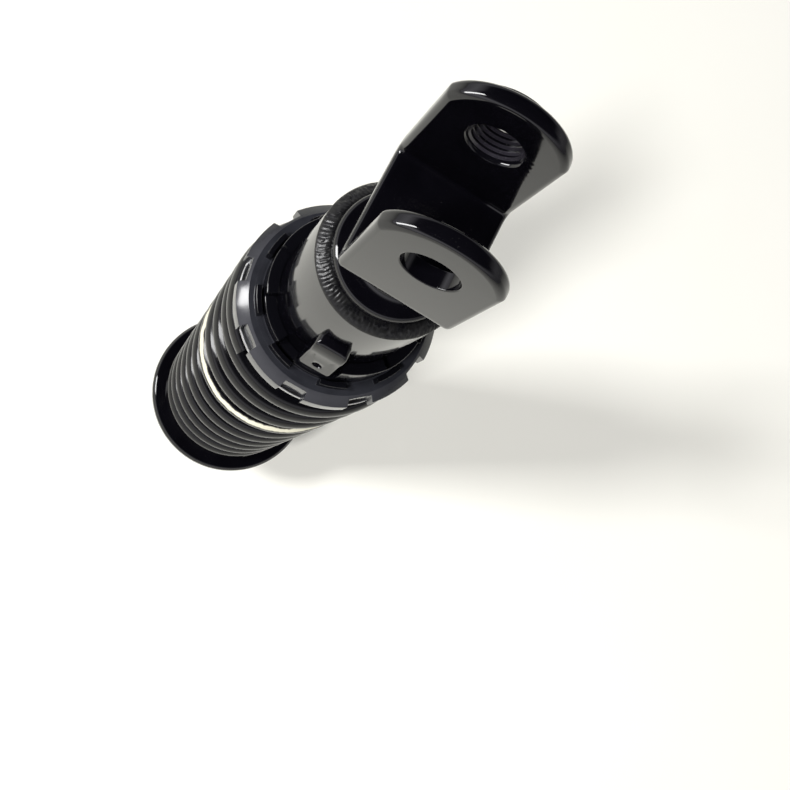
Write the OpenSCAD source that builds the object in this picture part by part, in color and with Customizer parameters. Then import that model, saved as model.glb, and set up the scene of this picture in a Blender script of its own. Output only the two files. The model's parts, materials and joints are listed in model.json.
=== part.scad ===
// Rear shock absorber with a clevis on top, a stepped cam preload adjuster and a coil spring.
// Units are millimetres. +Z runs along the damper toward the clevis, the pivot bolts run along Y.
// The origin is the middle of the lower eye bore. Depths below are counted down from the clevis pivot,
// and placed() lifts every piece by the distance between the two pivots.
// The plain-hole ear is on the -Y side, the threaded ear on the +Y side.

/* [Clevis] */
// inside half gap between the two ears
clevis_half_gap = 12.3; // [11.5:0.1:13.5]
// thickness of the bent plate
plate_t = 4.2; // [3.5:0.1:5]
// half width of the plate along X
ear_half_w = 13.7; // [12.5:0.1:14.5]
// radius of the rounded ear end
ear_end_r = 14.6; // [14.5:0.1:16]
// radius of the plain bolt hole, a 12 mm bolt with clearance
plain_hole_r = 6.25; // [6.1:0.05:6.5]
// radius of the tapped hole wall for a 12 mm fine thread
tapped_hole_r = 5.4; // [5.2:0.05:5.6]
// outer face of the plate base below the pivot axis
base_drop = 26.5; // [25:0.5:28]
// inside radius of the two bends
bend_r = 1.2; // [0.8:0.1:3]
// height of the boss behind the tapped hole
boss_h = 3; // [0.5:0.1:4]
// radius of the boss
boss_r = 9.5; // [8:0.5:12]

/* [Damper body] */
// outside radius of the damper tube
tube_r = 18.5; // [18.3:0.05:18.5]
// radius of the honed bore
bore_r = 16; // [15.5:0.5:16]
// depth of the tube rim below the pivot axis
tube_top = 44.5; // [43:0.5:46]
// depth of the open lower end of the tube
tube_end = 207; // [204:1:209]
// radius of the end cap standing out of the tube
cap_r = 15.4; // [14.5:0.1:15.6]

/* [Stop lugs] */
// width of each lug along the tube circumference
lug_w = 9; // [8:0.5:10]
// distance of the flat outer lug face from the axis
lug_face_r = 21; // [20.5:0.1:21]
// height of each lug
lug_h = 26; // [20:1:28]

/* [Preload cam] */
// outside radius of the cam wall
cam_r = 21.7; // [21.6:0.05:21.9]
// depth of the lowest cam tread
cam_low = 91.5; // [91:0.1:92]
// rise of one cam step
cam_step = 3; // [2:0.25:3]
// outside radius of the notched flange
flange_r = 28.1; // [27:0.1:28.5]
// radius of the flat top of the flange
flange_top_r = 25.2; // [24.8:0.1:25.5]
// depth of the flange top
flange_top = 93; // [92.8:0.1:93.5]
// depth of the flange underside
flange_end = 101.5; // [100:0.5:102]
// number of spanner notches
notch_n = 9; // [6:1:10]
// width of one spanner notch
notch_w = 6.8; // [5:0.2:7.4]

/* [Spring] */
// outside radius of the coils
spring_r = 28.7; // [28:0.1:29]
// radius of the spring wire
wire_r = 4.4; // [4:0.1:4.5]
// number of turns including the closed ends
turns = 10.8; // [9.8:0.5:11.3]
// angle of the wire end on the cam side
spring_start = -126; // [-180:1:180]

/* [Lower end] */
// radius of the lower spring seat
seat_r = 33.8; // [32:0.1:35]
// depth of the face the spring stands on
seat_top = 281; // [280:0.5:284]
// thickness of the seat rim
seat_t = 4.5; // [3:0.5:5]
// depth of the lower eye axis
eye_drop = 318; // [316:1:322]
// radius of the lower bolt hole, a 10 mm bolt with clearance
eye_hole_r = 5.25; // [5.1:0.05:5.5]
// outside radius of the eye ring
eye_r = 17; // [16:0.5:19]
// width of the eye ring along Y
eye_w = 24; // [20:1:28]

/* [Hidden] */
$fn = 96;
clear = 0.05;
plate_out = clevis_half_gap + plate_t;
bend_out_r = bend_r + plate_t;
cap_top = base_drop + 1;
cap_neck_r = 10.2;
cap_rim = tube_top - 3.6;
cap_seat = tube_top + 12;
ring_bore_r = tube_r + clear;
low_arc = 46;
tread_arc = (180 - low_arc) / 4;
lug_turn = -90;
low_end = lug_turn - 28;
lug_bottom = cam_low - 0.8;
lug_nose_r = lug_w / 2;
notch_floor_r = 26;
castle_r = 23.7;
castle_top = flange_top - 3.4;
perch_end = flange_end + 1.6;
coil_r = spring_r - wire_r;
coil_top = perch_end + 0.1 + wire_r;
coil_end = seat_top - 0.1 - wire_r;
end_pitch = 2 * wire_r + 0.3;
pitch = (coil_end - coil_top - 2 * end_pitch) / (turns - 2);
coil_steps = 34;
wire_sides = 12;
rod_r = 6;
rod_end = eye_drop - 15.5;
piston_z = -146;
guide_z = -204;

// ---- shared shapes ----

// plain ring standing on z0
module ring(ro, ri, z0, h) {
    translate([0, 0, z0])
    difference() {
        cylinder(r = ro, h = h);
        translate([0, 0, -1]) cylinder(r = ri, h = h + 2);
    }
}

// round bead of radius b lying on a circle of radius r
module bead(r, b, z) {
    translate([0, 0, z]) rotate_extrude() translate([r, 0]) circle(r = b);
}

// rectangle with its two lower corners rounded, used for both sides of the bent plate
module bend_outline(half, depth, r) {
    translate([-half, -depth + r]) square([2 * half, depth - r + 40]);
    translate([-half + r, -depth]) square([2 * half - 2 * r, depth]);
    translate([-half + r, -depth + r]) circle(r = r);
    translate([half - r, -depth + r]) circle(r = r);
}

// tube lying along Y, centred on the eye axis
module cross_tube(ro, ri, w) {
    translate([0, 0, -eye_drop]) rotate([90, 0, 0])
    difference() {
        cylinder(r = ro, h = w, center = true);
        cylinder(r = ri, h = w + 2, center = true);
    }
}

// ---- clevis end ----

// bent plate with two ears, rounded over the bolt axis
module clevis_bracket() {
    color([0.05, 0.05, 0.06])
    difference() {
        union() {
            intersection() {
                rotate([90, 0, 90]) linear_extrude(height = 2 * ear_half_w, center = true)
                difference() {
                    bend_outline(plate_out, base_drop, bend_out_r);
                    bend_outline(clevis_half_gap, base_drop - plate_t, bend_r);
                }
                rotate([90, 0, 0]) linear_extrude(height = 2 * plate_out + 4, center = true)
                intersection() {
                    translate([-ear_half_w, -60]) square([2 * ear_half_w, 120]);
                    union() {
                        circle(r = ear_end_r);
                        translate([-ear_half_w, -60]) square([2 * ear_half_w, 60]);
                    }
                }
            }
            translate([0, plate_out - 1, 0]) rotate([-90, 0, 0]) cylinder(r = boss_r, h = boss_h + 1);
        }
        translate([0, -plate_out + 10, 0]) rotate([90, 0, 0]) cylinder(r = plain_hole_r, h = 20);
        translate([0, plate_out + boss_h + 2, 0]) rotate([90, 0, 0]) cylinder(r = tapped_hole_r, h = 14);
    }
}

// rounded cap closing the tube, its small flat carries the bracket
module end_cap() {
    color([0.05, 0.05, 0.06])
    union() {
        rotate_extrude()
        polygon(concat([[0, -cap_seat], [cap_r, -cap_seat]],
                       [for (a = [0:13:65]) [cap_r - 2.6 + 2.6 * cos(a), -cap_rim - 2.6 + 2.6 * sin(a)]],
                       [for (a = [245:-13:180]) [cap_neck_r + 4.5 + 4.5 * cos(a), -cap_rim + 4.1 + 4.5 * sin(a)]],
                       [[cap_neck_r, -cap_top], [0, -cap_top]]));
        translate([0, 0, -cap_seat]) cylinder(r = bore_r, h = cap_seat - tube_top - 1);
        translate([0, 0, -cap_top - 1]) cylinder(r = 8, h = cap_top + 1 - base_drop);
    }
}

// weld bead between the tube rim and the cap
module cap_weld() {
    color([0.12, 0.12, 0.13])
    translate([0, 0, -tube_top])
    rotate_extrude()
    intersection() {
        translate([(tube_r + cap_r) / 2, 0]) circle(r = (tube_r - cap_r) / 2);
        translate([cap_r, 0]) square([tube_r - cap_r, 4]);
    }
}

// weld bead between the bracket base and the cap
module clevis_weld() {
    color([0.12, 0.12, 0.13])
    ring(9.4, 8, -cap_top, cap_top - base_drop);
}

// ---- damper body ----

// honed tube with an inside groove for the snap ring at its open end
module damper_tube() {
    color([0.06, 0.06, 0.07])
    difference() {
        translate([0, 0, -tube_end]) cylinder(r = tube_r, h = tube_end - tube_top);
        translate([0, 0, -tube_end - 1]) cylinder(r = bore_r, h = tube_end - tube_top + 2);
        ring(bore_r + 1.2, bore_r - 1, -tube_end + 2, 1.6);
    }
}

// point of the rounded shoulder above the leaning front face
function lug_shoulder(a) = [tube_r + 0.4 + (lug_face_r - tube_r) * cos(a), -lug_bottom + lug_h - 4 + 4 * sin(a)];

// one stop lug, round nosed below, with a leaning face and a drilled dimple
module lug() {
    rotate([0, 0, lug_turn])
    difference() {
        intersection() {
            translate([tube_r - 2, 0, 0]) rotate([90, 0, 90]) linear_extrude(height = lug_face_r - tube_r + 4)
            union() {
                translate([0, -lug_bottom + lug_nose_r]) circle(r = lug_nose_r);
                translate([-lug_w / 2, -lug_bottom + lug_nose_r]) square([lug_w, lug_h - lug_nose_r - 2.5]);
                translate([-lug_w / 2 + 2.5, -lug_bottom + lug_h - 4]) square([lug_w - 5, 4]);
                translate([-lug_w / 2 + 2.5, -lug_bottom + lug_h - 2.5]) circle(r = 2.5);
                translate([lug_w / 2 - 2.5, -lug_bottom + lug_h - 2.5]) circle(r = 2.5);
            }
            rotate([90, 0, 0]) linear_extrude(height = lug_w + 2, center = true)
            polygon(concat([[tube_r - 2, -lug_bottom + lug_h], [tube_r - 2, -lug_bottom - 1],
                            [lug_face_r + 0.3, -lug_bottom - 1], [lug_face_r + 0.3, -lug_bottom + 7.6],
                            [lug_face_r + 1.4, -lug_bottom + 8.4], [lug_face_r + 1.9, -lug_bottom + 9.8]],
                           [for (a = [0:15:90]) lug_shoulder(a)]));
        }
        translate([0, 0, -lug_bottom - 1]) cylinder(r = tube_r, h = lug_h + 2);
        translate([lug_face_r, 0, -lug_bottom + 13.1]) rotate([0, 90, 0]) cylinder(r = 1.3, h = 4);
    }
}

module stop_lugs() {
    color([0.05, 0.05, 0.06]) {
        lug();
        rotate([0, 0, 180]) lug();
    }
}

// ---- preload adjuster ----

// room above tread i of one ramp, reaching from its riser over half of the next lower tread
module tread_room(i) {
    translate([0, 0, -cam_low + i * cam_step])
    rotate([0, 0, low_end - i * tread_arc])
    rotate_extrude(angle = i == 0 ? low_arc : 1.5 * tread_arc)
    translate([ring_bore_r - 1, 0]) square([cam_r + 0.3 - ring_bore_r + 1, 5 * cam_step]);
}

// stepped cam ring with a chamfered flange and open spanner notches
module cam_ring() {
    color([0.07, 0.07, 0.08])
    difference() {
        rotate_extrude()
        polygon([[ring_bore_r, -flange_end], [flange_r, -flange_end],
                 [flange_r, -flange_top - (flange_r - flange_top_r)], [flange_top_r, -flange_top],
                 [castle_r, -flange_top], [castle_r, -castle_top], [castle_r - 1.4, -castle_top],
                 [castle_r - 1.4, -flange_top], [cam_r, -flange_top],
                 [cam_r, -cam_low + 4 * cam_step], [ring_bore_r, -cam_low + 4 * cam_step]]);
        for (side = [0, 180], i = [0:3])
            rotate([0, 0, side]) tread_room(i);
        for (i = [0:notch_n - 1])
            rotate([0, 0, lug_turn + i * 360 / notch_n]) {
                translate([notch_floor_r, -notch_w / 2, -flange_end - 1])
                cube([6, notch_w, flange_end - flange_top + 6]);
                translate([cam_r + 0.15, -notch_w / 2 - 0.8, -flange_top])
                cube([6, notch_w + 1.6, 8]);
            }
    }
}

// thrust washer under the cam ring with a thin lip inside the first coil
module spring_perch() {
    color([0.55, 0.56, 0.58])
    union() {
        ring(flange_r - 1.2, ring_bore_r, -perch_end, perch_end - flange_end);
        ring(ring_bore_r + 0.9, ring_bore_r, -perch_end - 5, 5.5);
    }
}

// ---- spring ----

// depth of the wire centre after t turns, close wound over the first and last turn
function coil_depth(t) =
    t < 1 ? coil_top + end_pitch * t :
    t > turns - 1 ? coil_end - end_pitch * (turns - t) :
    coil_top + end_pitch + pitch * (t - 1);

// rise of the wire per turn, used to tilt its section
function coil_rate(t) = (t < 1 || t > turns - 1) ? end_pitch : pitch;

// point s of the wire section after t turns
function wire_point(t, s) =
    let (a = spring_start - 360 * t,
         tilt = atan2(coil_rate(t), 2 * PI * coil_r),
         u = wire_r * cos(360 * s / wire_sides),
         v = wire_r * sin(360 * s / wire_sides))
    [(coil_r + u) * cos(a) - v * sin(tilt) * sin(a),
     (coil_r + u) * sin(a) + v * sin(tilt) * cos(a),
     -coil_depth(t) + v * cos(tilt)];

module spring() {
    n = round(turns * coil_steps);
    pts = [for (i = [0:n], s = [0:wire_sides - 1]) wire_point(turns * i / n, s)];
    sides = [for (i = [0:n - 1], s = [0:wire_sides - 1])
        [i * wire_sides + s, i * wire_sides + (s + 1) % wire_sides,
         (i + 1) * wire_sides + (s + 1) % wire_sides, (i + 1) * wire_sides + s]];
    first = [[for (s = [0:wire_sides - 1]) wire_sides - 1 - s]];
    last = [[for (s = [0:wire_sides - 1]) n * wire_sides + s]];
    color([0.05, 0.05, 0.06])
    polyhedron(points = pts, faces = concat(sides, first, last));
}

// ---- gas separator ----

module floating_piston() {
    color([0.75, 0.76, 0.78])
    difference() {
        translate([0, 0, -78]) cylinder(r = bore_r - clear, h = 12);
        translate([0, 0, -71]) cylinder(r = bore_r - 5, h = 6);
        ring(bore_r + 1, bore_r - 2.4, -73.6, 3.2);
    }
}

module floating_piston_ring() {
    color([0.02, 0.02, 0.02])
    bead(bore_r - 1.25, 1.15, -72);
}

// ---- rod assembly ----

// chromed rod, stepped down where it carries the piston
module piston_rod() {
    color([0.85, 0.86, 0.88])
    union() {
        translate([0, 0, -rod_end]) cylinder(r = rod_r, h = rod_end + piston_z - 9);
        translate([0, 0, piston_z - 10]) cylinder(r = 4, h = 31);
    }
}

// valve piston with six flow ports
module piston() {
    color([0.7, 0.7, 0.72])
    difference() {
        translate([0, 0, piston_z - 5]) cylinder(r = bore_r - 0.4, h = 13);
        translate([0, 0, piston_z - 6]) cylinder(r = 4, h = 15);
        ring(bore_r + 1, bore_r - 2, piston_z - 2.5, 8);
        for (a = [0:60:300])
            rotate([0, 0, a]) translate([9, 0, piston_z - 6]) cylinder(r = 1.8, h = 15);
    }
}

module piston_band() {
    color([0.35, 0.25, 0.12])
    ring(bore_r - clear, bore_r - 2, piston_z - 2.5, 8);
}

// stack of thin discs, the widest lies on the piston
module compression_shims() {
    color([0.6, 0.62, 0.66])
    union() {
        ring(12.4, 4, piston_z + 8, 0.8);
        ring(10.4, 4, piston_z + 8.8, 0.8);
        ring(8.2, 4, piston_z + 9.6, 1.4);
    }
}

module rebound_shims() {
    color([0.6, 0.62, 0.66])
    union() {
        ring(12.4, 4, piston_z - 5.8, 0.8);
        ring(10.4, 4, piston_z - 6.6, 0.8);
        ring(8.2, 4, piston_z - 9, 2.4);
    }
}

module piston_nut() {
    color([0.5, 0.5, 0.52])
    difference() {
        translate([0, 0, piston_z + 11]) cylinder(r = 7.5, h = 7, $fn = 6);
        translate([0, 0, piston_z + 10]) cylinder(r = 4, h = 9);
    }
}

module top_out_bumper() {
    color([0.1, 0.1, 0.1])
    ring(11, rod_r, guide_z + 20.5, 10);
}

// ---- rod guide at the open end of the tube ----

module rod_guide() {
    color([0.72, 0.73, 0.75])
    difference() {
        translate([0, 0, guide_z + 0.6]) cylinder(r = bore_r, h = 19.4);
        translate([0, 0, guide_z - 1]) cylinder(r = rod_r + 2, h = 30);
        translate([0, 0, guide_z - 1]) cylinder(r = 11, h = 10);
        ring(bore_r + 1, bore_r - 2.4, guide_z + 12, 3.2);
    }
}

module guide_bushing() {
    color([0.72, 0.55, 0.25])
    ring(rod_r + 2, rod_r + clear, guide_z + 9, 11);
}

module guide_o_ring() {
    color([0.02, 0.02, 0.02])
    bead(bore_r - 1.25, 1.15, guide_z + 13.6);
}

module oil_seal() {
    color([0.12, 0.08, 0.06])
    ring(11, rod_r + clear, guide_z + 4, 5);
}

module dust_wiper() {
    color([0.05, 0.05, 0.05])
    union() {
        ring(11, rod_r + clear, guide_z + 0.6, 3.4);
        ring(8.6, rod_r + clear, guide_z - 2.2, 3);
    }
}

// round wire ring snapped into the tube groove
module guide_snap_ring() {
    color([0.5, 0.5, 0.52])
    difference() {
        ring(bore_r + 1.1, bore_r - 1.6, -tube_end + 2.1, 1.4);
        translate([bore_r - 3, -3, -tube_end]) cube([6, 6, 6]);
    }
}

// ---- lower end ----

// ribbed rubber bump stop gripping the rod
module bump_stop() {
    color([0.08, 0.08, 0.08])
    difference() {
        union() {
            translate([0, 0, -seat_top + 2.2]) cylinder(r = 10.5, h = 20);
            translate([0, 0, -seat_top + 20]) cylinder(r1 = 10.5, r2 = 8.5, h = 5.5);
            bead(10.2, 2.8, -seat_top + 6);
            bead(9.6, 2.8, -seat_top + 14);
        }
        translate([0, 0, -seat_top]) cylinder(r = rod_r, h = 30);
    }
}

module bump_stop_cup() {
    color([0.6, 0.6, 0.62])
    union() {
        ring(15, rod_r, -seat_top + 0.7, 1.5);
        ring(15, 13.6, -seat_top + 0.7, 4);
    }
}

// wide pressed seat, raised inside the last coil
module lower_seat() {
    color([0.05, 0.05, 0.06])
    difference() {
        union() {
            translate([0, 0, -seat_top - seat_t]) cylinder(r = seat_r, h = seat_t);
            translate([0, 0, -seat_top - 1]) cylinder(r = coil_r - wire_r - 0.3, h = 6.5);
        }
        translate([0, 0, -seat_top + 0.7]) cylinder(r = coil_r - wire_r - 2.3, h = 10);
        translate([0, 0, -seat_top - 20]) cylinder(r = 10, h = 20.7 - 2);
        translate([0, 0, -seat_top - 20]) cylinder(r = rod_r + 0.5, h = 40);
        translate([0, 0, -seat_top - 20]) cylinder(r = seat_r - 3, h = 20 - 3);
    }
}

// two half collars that lock the seat to the lower end
module seat_retainer() {
    color([0.55, 0.55, 0.57])
    difference() {
        union() {
            ring(9.9, rod_r, -seat_top - 7, 5.7);
            ring(15, rod_r, -seat_top - 7, 3.9);
        }
        translate([-20, -0.2, -seat_top - 8]) cube([40, 0.4, 12]);
    }
}

module rod_lock_nut() {
    color([0.6, 0.6, 0.62])
    difference() {
        translate([0, 0, -seat_top - 15]) cylinder(r = 11.5, h = 8, $fn = 6);
        translate([0, 0, -seat_top - 16]) cylinder(r = rod_r, h = 10);
    }
}

// eye ring with a round neck that takes the rod end
module lower_eye() {
    color([0.05, 0.05, 0.06])
    difference() {
        union() {
            translate([0, 0, -eye_drop]) rotate([90, 0, 0]) cylinder(r = eye_r, h = eye_w, center = true);
            translate([0, 0, -eye_drop + 6]) cylinder(r = 10.5, h = eye_drop - 6 - seat_top - 15);
        }
        translate([0, 0, -eye_drop]) rotate([90, 0, 0]) cylinder(r = 12.5, h = 60, center = true);
        translate([0, 0, -rod_end - 0.5]) cylinder(r = rod_r, h = 20);
    }
}

module eye_shell() {
    color([0.5, 0.5, 0.52])
    cross_tube(12.5, 11.3, eye_w);
}

module eye_rubber() {
    color([0.04, 0.04, 0.04])
    difference() {
        cross_tube(11.3, 8 + clear, eye_w - 1);
        for (s = [-1, 1])
            translate([0, s * (eye_w / 2 - 0.5), -eye_drop]) rotate([90, 0, 0])
            rotate_extrude() translate([9.65, 0]) circle(r = 1.2);
    }
}

module eye_sleeve() {
    color([0.7, 0.7, 0.72])
    cross_tube(8, eye_hole_r, eye_w + 4);
}

// lifts a piece so that the lower pivot is the origin
module placed() {
    translate([0, 0, eye_drop]) children();
}

placed() clevis_bracket();
placed() end_cap();
placed() cap_weld();
placed() clevis_weld();
placed() damper_tube();
placed() stop_lugs();
placed() cam_ring();
placed() spring_perch();
placed() spring();
placed() floating_piston();
placed() floating_piston_ring();
placed() piston_rod();
placed() piston();
placed() piston_band();
placed() compression_shims();
placed() rebound_shims();
placed() piston_nut();
placed() top_out_bumper();
placed() rod_guide();
placed() guide_bushing();
placed() guide_o_ring();
placed() oil_seal();
placed() dust_wiper();
placed() guide_snap_ring();
placed() bump_stop();
placed() bump_stop_cup();
placed() lower_seat();
placed() seat_retainer();
placed() rod_lock_nut();
placed() lower_eye();
placed() eye_shell();
placed() eye_rubber();
placed() eye_sleeve();
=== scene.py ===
import json
import math

import bmesh
import bpy
from mathutils import Matrix, Vector, noise


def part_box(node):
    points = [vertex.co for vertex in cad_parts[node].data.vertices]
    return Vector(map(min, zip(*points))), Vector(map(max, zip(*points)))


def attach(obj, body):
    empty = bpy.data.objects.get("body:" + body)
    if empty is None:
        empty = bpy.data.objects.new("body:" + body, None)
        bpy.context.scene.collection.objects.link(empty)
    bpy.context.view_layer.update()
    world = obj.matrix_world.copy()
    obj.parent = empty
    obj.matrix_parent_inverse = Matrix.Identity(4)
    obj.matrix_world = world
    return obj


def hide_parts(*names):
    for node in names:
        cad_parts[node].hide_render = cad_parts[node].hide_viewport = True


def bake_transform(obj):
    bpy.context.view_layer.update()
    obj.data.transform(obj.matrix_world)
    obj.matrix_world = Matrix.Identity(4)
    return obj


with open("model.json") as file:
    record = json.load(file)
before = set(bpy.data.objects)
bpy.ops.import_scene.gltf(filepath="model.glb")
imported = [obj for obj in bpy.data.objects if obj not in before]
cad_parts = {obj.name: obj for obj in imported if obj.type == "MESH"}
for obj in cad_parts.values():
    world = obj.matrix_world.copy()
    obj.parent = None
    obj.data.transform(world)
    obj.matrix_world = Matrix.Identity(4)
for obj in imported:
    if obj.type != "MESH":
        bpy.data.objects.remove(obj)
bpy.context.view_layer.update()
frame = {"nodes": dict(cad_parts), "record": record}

MM = 0.001
DEG = math.pi / 180

# ---------------------------------------------------------------- sizes taken from the CAD, in mm

# Shapes are written in mm, with heights counted from the clevis pivot; the frame's origin is the lower eye.
PIVOT_Z = frame["record"]["mounts"][0]["pos_m"][2] / MM
LIFT = Vector((0, 0, PIVOT_Z))


def cad(node):
    """Corners of a CAD node in mm, with heights counted from the clevis pivot."""
    lo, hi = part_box(node)
    return lo / MM - LIFT, hi / MM - LIFT


BRACKET_LO, BRACKET_HI = cad("clevis_bracket")
TUBE_LO, TUBE_HI = cad("damper_tube")
SEAT_HI = cad("lower_seat")[1]
SPRING_LO, SPRING_HI = cad("spring")
EYE_LO, EYE_HI = cad("lower_eye")

PLATE_T = 4.2
PLATE_HALF_W = BRACKET_HI.x
GAP_HALF = -BRACKET_LO.y - PLATE_T
BOSS_END = BRACKET_HI.y
BASE_Z = BRACKET_LO.z
EAR_R = BRACKET_HI.z
BEND_R = 1.2
PLAIN_R = 6.25
TUBE_R = TUBE_HI.x
RIM_Z = TUBE_HI.z
CAP_R = 15.4
CAP_NECK_R = 10.2
EYE_Z = -318.0
FLANGE_TOP, FLANGE_LOW = -93.0, -101.5

# ---------------------------------------------------------------- mesh helpers


def new_object(name, verts, faces, material, sharp=35):
    """Mesh object from points in mm, with heights counted from the clevis pivot."""
    me = bpy.data.meshes.new(name)
    me.from_pydata([(Vector(v) + LIFT) * MM for v in verts], [], faces)
    me.validate()
    me.shade_smooth()
    me.set_sharp_from_angle(angle=sharp * DEG)
    ob = bpy.data.objects.new(name, me)
    bpy.context.scene.collection.objects.link(ob)
    me.materials.append(material)
    return ob


def place(ob, body, slot, *nodes):
    """Rides on a body and hides the CAD nodes it stands for; slot is not used."""
    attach(ob, body)
    if nodes:
        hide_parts(*nodes)
    return ob


def fillet(points, steps=5):
    """Rounds the corners of a closed outline of (a, b, radius) points."""
    out = []
    n = len(points)
    for i in range(n):
        p = Vector(points[i][:2])
        r = points[i][2]
        if r <= 0:
            out.append(tuple(p))
            continue
        a = Vector(points[i - 1][:2]) - p
        b = Vector(points[(i + 1) % n][:2]) - p
        la, lb = a.length, b.length
        a.normalize()
        b.normalize()
        half = math.acos(max(-1, min(1, a.dot(b)))) / 2
        cut = min(r / math.tan(half), 0.49 * la, 0.49 * lb)
        r = cut * math.tan(half)
        centre = p + (a + b).normalized() * (r / math.sin(half))
        u = (p + a * cut) - centre
        v = (p + b * cut) - centre
        turn = math.atan2(u.x * v.y - u.y * v.x, u.dot(v))
        for k in range(steps + 1):
            t = turn * k / steps
            w = Vector((u.x * math.cos(t) - u.y * math.sin(t), u.x * math.sin(t) + u.y * math.cos(t)))
            out.append(tuple(centre + w))
    return out


def lathe(name, outline, material, segs, axis="z", centre=(0, 0, 0), start=0.0, sweep=360.0):
    """Turns a closed outline of (radius, height) points round an axis."""
    whole = sweep >= 360
    angles = [(start + sweep * i / segs) * DEG for i in range(segs if whole else segs + 1)]
    return columns(name, angles, lambda a: outline, material, 35, axis, centre, whole)


def columns(name, angles, outline_at, material, sharp, axis="z", centre=(0, 0, 0), whole=True):
    """Joins closed outlines standing at a row of angles; every outline has the same number of points."""
    verts, faces = [], []
    first = outline_at(angles[0])
    area = sum(p[0] * q[1] - q[0] * p[1] for p, q in zip(first, first[1:] + first[:1]))
    for a in angles:
        outline = outline_at(a)
        if area < 0:
            outline = outline[::-1]
        n = len(outline)
        for r, z in outline:
            p = (r * math.cos(a), r * math.sin(a), z)
            if axis == "y":
                p = (p[0], p[2], -p[1])
            verts.append((p[0] + centre[0], p[1] + centre[1], p[2] + centre[2]))
    count = len(angles)
    for i in range(count if whole else count - 1):
        k = (i + 1) % count
        for j in range(n):
            m = (j + 1) % n
            faces.append((i * n + j, k * n + j, k * n + m, i * n + m))
    if not whole:
        faces.append(tuple(range(n)))
        faces.append(tuple((count - 1) * n + j for j in reversed(range(n))))
    return new_object(name, verts, faces, material, sharp)


# ---------------------------------------------------------------- materials


class Nodes:
    """Small wrapper that makes node graphs short to write."""

    def __init__(self, name):
        self.mat = bpy.data.materials.new(name)
        self.mat.use_nodes = True
        self.tree = self.mat.node_tree
        self.bsdf = self.tree.nodes["Principled BSDF"]

    def add(self, kind, **values):
        node = self.tree.nodes.new(kind)
        for key, value in values.items():
            if key in node.inputs:
                node.inputs[key].default_value = value
            else:
                setattr(node, key, value)
        return node

    def link(self, a, b):
        self.tree.links.new(a, b)

    def coords(self, scale=(1, 1, 1)):
        tex = self.add("ShaderNodeTexCoord")
        mapping = self.add("ShaderNodeMapping")
        mapping.inputs["Scale"].default_value = scale
        self.link(tex.outputs["Object"], mapping.inputs["Vector"])
        return mapping.outputs["Vector"]

    def noise(self, vector, scale, detail=4.0, rough=0.5):
        node = self.add("ShaderNodeTexNoise", Scale=scale, Detail=detail, Roughness=rough)
        self.link(vector, node.inputs["Vector"])
        return node.outputs["Fac"]

    def remap(self, value, low, high, to_low, to_high):
        node = self.add("ShaderNodeMapRange")
        for key, v in zip(("From Min", "From Max", "To Min", "To Max"), (low, high, to_low, to_high)):
            node.inputs[key].default_value = v
        self.link(value, node.inputs["Value"])
        return node.outputs["Result"]

    def mix(self, factor, a, b):
        node = self.add("ShaderNodeMix", data_type="RGBA")
        self.link(factor, node.inputs["Factor"])
        for key, value in (("A", a), ("B", b)):
            socket = [s for s in node.inputs if s.name == key and s.type == "RGBA"][0]
            if isinstance(value, tuple):
                socket.default_value = value
            else:
                self.link(value, socket)
        return [s for s in node.outputs if s.type == "RGBA"][0]

    def math(self, op, a, b=None):
        node = self.add("ShaderNodeMath", operation=op)
        for k, v in enumerate((a, b)):
            if v is None:
                continue
            if isinstance(v, (int, float)):
                node.inputs[k].default_value = v
            else:
                self.link(v, node.inputs[k])
        return node.outputs[0]

    def bump(self, height, strength, distance):
        node = self.add("ShaderNodeBump", Strength=strength, Distance=distance)
        self.link(height, node.inputs["Height"])
        return node

    def set(self, **values):
        for key, value in values.items():
            socket = self.bsdf.inputs[key.replace("_", " ")]
            if isinstance(value, (int, float, tuple)):
                socket.default_value = value
            else:
                self.link(value, socket)


def rgba(r, g, b):
    return (r, g, b, 1.0)


def gloss_paint(name, base, rough=0.07, peel=0.05):
    """Black stoving enamel: mirror-like, with faint orange peel and a little dust."""
    m = Nodes(name)
    v = m.coords()
    cloud = m.noise(v, 90, 5, 0.55)
    speck = m.remap(m.noise(v, 2600, 2, 0.6), 0.69, 0.75, 0, 1)
    dust = m.math("MULTIPLY", speck, m.remap(cloud, 0.5, 0.72, 0, 0.35))
    colour = m.mix(m.remap(cloud, 0.3, 0.7, 0, 1), rgba(*base), rgba(*[c * 1.6 + 0.0004 for c in base]))
    colour = m.mix(dust, colour, rgba(0.16, 0.155, 0.15))
    film = m.noise(v, 260, 4, 0.6)
    m.set(Base_Color=colour, Roughness=m.remap(film, 0.3, 0.7, rough * 0.7, rough * 1.4), IOR=1.5)
    m.set(Normal=m.bump(m.noise(v, 420, 2, 0.5), peel, 0.0001).outputs[0])
    return m.mat


def cam_paint(name):
    """Black paint on the cam; the spanner flange below the steps is painted a little greyer, a painted sheen
    that is patchy by a noise.
    """
    m = Nodes(name)
    v = m.coords()
    height = m.add("ShaderNodeSeparateXYZ")
    m.link(v, height.inputs[0])
    cloud = m.noise(v, 140, 5, 0.6)
    flange = (FLANGE_TOP + PIVOT_Z) * MM
    # Painted sheen: below the flange top the black is lightened to grey, patchy by the cloud noise.
    painted_flange_sheen = m.remap(height.outputs["Z"], flange + 0.0001, flange + 0.0008, 1, 0)
    painted_flange_sheen = m.math("MULTIPLY", painted_flange_sheen, m.remap(cloud, 0.25, 0.6, 0.6, 1))
    colour = m.mix(painted_flange_sheen, rgba(0.0028, 0.0028, 0.0042), rgba(0.022, 0.023, 0.029))
    m.set(Base_Color=colour, Roughness=m.remap(cloud, 0.3, 0.7, 0.1, 0.2), IOR=1.5)
    m.set(Normal=m.bump(m.noise(v, 420, 2, 0.5), 0.1, 0.0001).outputs[0])
    return m.mat


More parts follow.
